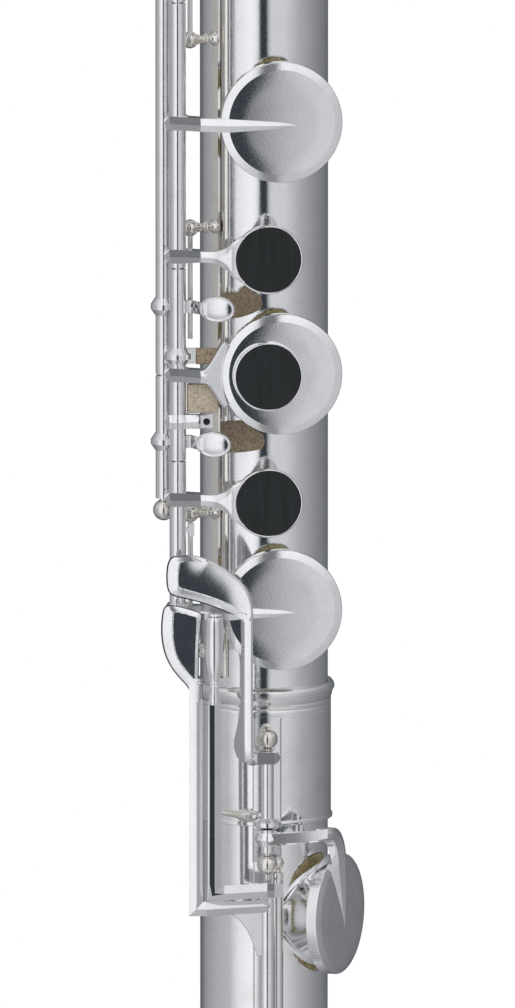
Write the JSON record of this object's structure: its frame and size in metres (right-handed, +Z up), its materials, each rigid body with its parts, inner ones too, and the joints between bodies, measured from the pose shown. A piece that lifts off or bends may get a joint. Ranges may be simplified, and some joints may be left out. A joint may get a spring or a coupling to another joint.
{
  "type": "bass flute",
  "caption": "Upright bass flute: foot, keyed body and bent head with lip plate; keys, trills, foot keys, head slide, bend and crown all move.",
  "frame": {"origin": "centre of the foot end's rim, on the main tube's axis", "axes": "+Z up the main tube to the head; -Y is the side of the finger plates, which faces the viewer; the return arm of the head is on -X"},
  "size_m": [0.1232, 0.0609, 1.0549],
  "materials": {
    "silver": "mirror-polished silver plate",
    "steel": "drawn steel rod and spring wire",
    "pad": "tan skin over felt, matt",
    "cork": "brown cork, matt",
    "pale_cork": "pale cork sheet, matt",
    "inlay": "polished black inlay"
  },
  "bodies": {
    "foot": {"foot_tube": "silver", "foot_socket": "silver", "foot_rib": "silver", "foot_steel": "steel"},
    "body": {"body_tube": "silver", "head_socket": "silver", "body_rib": "silver", "main_steel": "steel", "spring_high": "steel", "spring_middle": "steel", "spring_low": "steel", "thumb_rib": "silver", "side_rib": "silver"},
    "head_slide": {"head_tube": "silver"},
    "head_bend": {"head_bend": "silver"},
    "return_arm": {"return_tube": "silver", "lip_plate": "silver", "riser": "silver", "stopper": "cork"},
    "crown": {"crown": "silver"},
    "key_d": {"key_d": "silver", "pad_d": "pad", "inlay_d": "inlay"},
    "key_e": {"key_e": "silver", "pad_e": "pad", "inlay_e": "inlay", "cork_brown": "cork", "cork_pale": "pale_cork"},
    "key_f": {"key_f": "silver", "pad_f": "pad", "inlay_f": "inlay"},
    "key_f_sharp": {"key_f_sharp": "silver", "pad_f_sharp": "pad"},
    "key_g": {"key_g": "silver", "pad_g_low": "pad", "pad_g_high": "pad", "inlay_g": "inlay"},
    "key_a": {"key_a": "silver", "pad_a": "pad", "inlay_a": "inlay"},
    "key_b_flat": {"key_b_flat": "silver", "pad_b_flat": "pad"},
    "key_c": {"key_c": "silver", "pad_c": "pad", "inlay_c": "inlay"},
    "thumb_key": {"thumb_key": "silver", "pad_thumb": "pad"},
    "side_key": {"side_key": "silver", "pad_side": "pad"},
    "trill_upper": {"trill_key_upper": "silver", "pad_trill_upper": "pad"},
    "trill_lower": {"trill_key_lower": "silver", "pad_trill_lower": "pad"},
    "key_e_flat": {"key_e_flat": "silver", "pad_e_flat": "pad"},
    "key_c_sharp": {"key_c_sharp": "silver", "pad_c_sharp": "pad"},
    "key_c_low": {"key_c_low": "silver", "pad_c_low": "pad"},
    "roller": {"roller": "silver"}
  },
  "joints": [
    {"name": "foot_joint_turn", "type": "hinge", "parent": "foot", "child": "body", "pos_m": [0, 0, 0.2357], "axis": [0, 0, 1], "range_deg": [-5, 5]},
    {"name": "head_tuning_slide", "type": "slide", "parent": "body", "child": "head_slide", "axis": [0, 0, 1], "range_m": [0, 0.015]},
    {"name": "head_bend_turn", "type": "hinge", "parent": "head_slide", "child": "head_bend", "pos_m": [0, 0, 1], "axis": [0, 0, 1], "range_deg": [-30, 30]},
    {"name": "return_arm_turn", "type": "hinge", "parent": "head_bend", "child": "return_arm", "pos_m": [-0.076, 0, 1], "axis": [0, 0, 1], "range_deg": [-20, 20]},
    {"name": "crown_screw_turn", "type": "hinge", "parent": "return_arm", "child": "crown", "pos_m": [-0.076, 0, 0.79], "axis": [0, 0, 1], "continuous": true},
    {"name": "key_d_press", "type": "hinge", "parent": "body", "child": "key_d", "pos_m": [-0.02081, -0.0217, 0.2814], "axis": [0, 0, 1], "range_deg": [0, 6], "stiffness_Nm_per_rad": 0.08, "springref_deg": -8.59},
    {"name": "key_e_press", "type": "hinge", "parent": "body", "child": "key_e", "pos_m": [-0.02081, -0.0217, 0.3389], "axis": [0, 0, 1], "range_deg": [0, 6], "stiffness_Nm_per_rad": 0.08, "springref_deg": -8.59},
    {"name": "key_f_press", "type": "hinge", "parent": "body", "child": "key_f", "pos_m": [-0.02081, -0.0217, 0.4002], "axis": [0, 0, 1], "range_deg": [0, 6], "stiffness_Nm_per_rad": 0.08, "springref_deg": -8.59},
    {"name": "key_f_sharp_press", "type": "hinge", "parent": "body", "child": "key_f_sharp", "pos_m": [-0.02081, -0.0217, 0.4557], "axis": [0, 0, 1], "range_deg": [0, 6], "stiffness_Nm_per_rad": 0.08, "springref_deg": -8.59},
    {"name": "key_g_press", "type": "hinge", "parent": "body", "child": "key_g", "pos_m": [-0.02081, -0.0217, 0.5327], "axis": [0, 0, 1], "range_deg": [0, 6], "stiffness_Nm_per_rad": 0.08, "springref_deg": -8.59},
    {"name": "key_a_press", "type": "hinge", "parent": "body", "child": "key_a", "pos_m": [-0.02081, -0.0217, 0.604], "axis": [0, 0, 1], "range_deg": [0, 6], "stiffness_Nm_per_rad": 0.08, "springref_deg": -8.59},
    {"name": "key_b_flat_press", "type": "hinge", "parent": "body", "child": "key_b_flat", "pos_m": [-0.02081, -0.0217, 0.648], "axis": [0, 0, 1], "range_deg": [0, 6], "stiffness_Nm_per_rad": 0.08, "springref_deg": -8.59},
    {"name": "key_c_press", "type": "hinge", "parent": "body", "child": "key_c", "pos_m": [-0.02081, -0.0217, 0.735], "axis": [0, 0, 1], "range_deg": [0, 6], "stiffness_Nm_per_rad": 0.08, "springref_deg": -8.59},
    {"name": "thumb_key_press", "type": "hinge", "parent": "body", "child": "thumb_key", "pos_m": [-0.02627, 0.01469, 0.69], "axis": [0, 0, 1], "range_deg": [-6, 0], "stiffness_Nm_per_rad": 0.08, "springref_deg": 8.59},
    {"name": "side_key_press", "type": "hinge", "parent": "body", "child": "side_key", "pos_m": [0.02378, -0.01845, 0.4829], "axis": [0, 0, 1], "range_deg": [-8, 0], "stiffness_Nm_per_rad": 0.08, "springref_deg": 8.59},
    {"name": "trill_upper_press", "type": "hinge", "parent": "body", "child": "trill_upper", "pos_m": [-0.02422, -0.01753, 0.3549], "axis": [0, 0, 1], "range_deg": [0, 8], "stiffness_Nm_per_rad": 0.08, "springref_deg": -8.59},
    {"name": "trill_lower_press", "type": "hinge", "parent": "body", "child": "trill_lower", "pos_m": [-0.02422, -0.01753, 0.322], "axis": [0, 0, 1], "range_deg": [0, 8], "stiffness_Nm_per_rad": 0.08, "springref_deg": -8.59},
    {"name": "key_e_flat_press", "type": "hinge", "parent": "foot", "child": "key_e_flat", "pos_m": [0.00081, -0.02099, 0.234], "axis": [0, 0, 1], "range_deg": [-7, 0], "stiffness_Nm_per_rad": 0.08, "springref_deg": 8.59},
    {"name": "key_c_sharp_press", "type": "hinge", "parent": "foot", "child": "key_c_sharp", "pos_m": [0.00081, -0.02099, 0.17], "axis": [0, 0, 1], "range_deg": [-6, 0], "stiffness_Nm_per_rad": 0.08, "springref_deg": 8.59},
    {"name": "key_c_low_press", "type": "hinge", "parent": "foot", "child": "key_c_low", "pos_m": [0.0031, -0.01814, 0.14], "axis": [0, 0, 1], "range_deg": [-6, 0], "stiffness_Nm_per_rad": 0.08, "springref_deg": 8.59},
    {"name": "roller_spin", "type": "hinge", "parent": "key_c_low", "child": "roller", "pos_m": [-0.012, -0.0296, 0.273], "axis": [0, 0, 1], "continuous": true}
  ],
  "couplings": [
    {"joint": "key_f_sharp_press", "follows": "key_f_press", "ratio": 1},
    {"joint": "key_b_flat_press", "follows": "key_a_press", "ratio": 1}
  ]
}
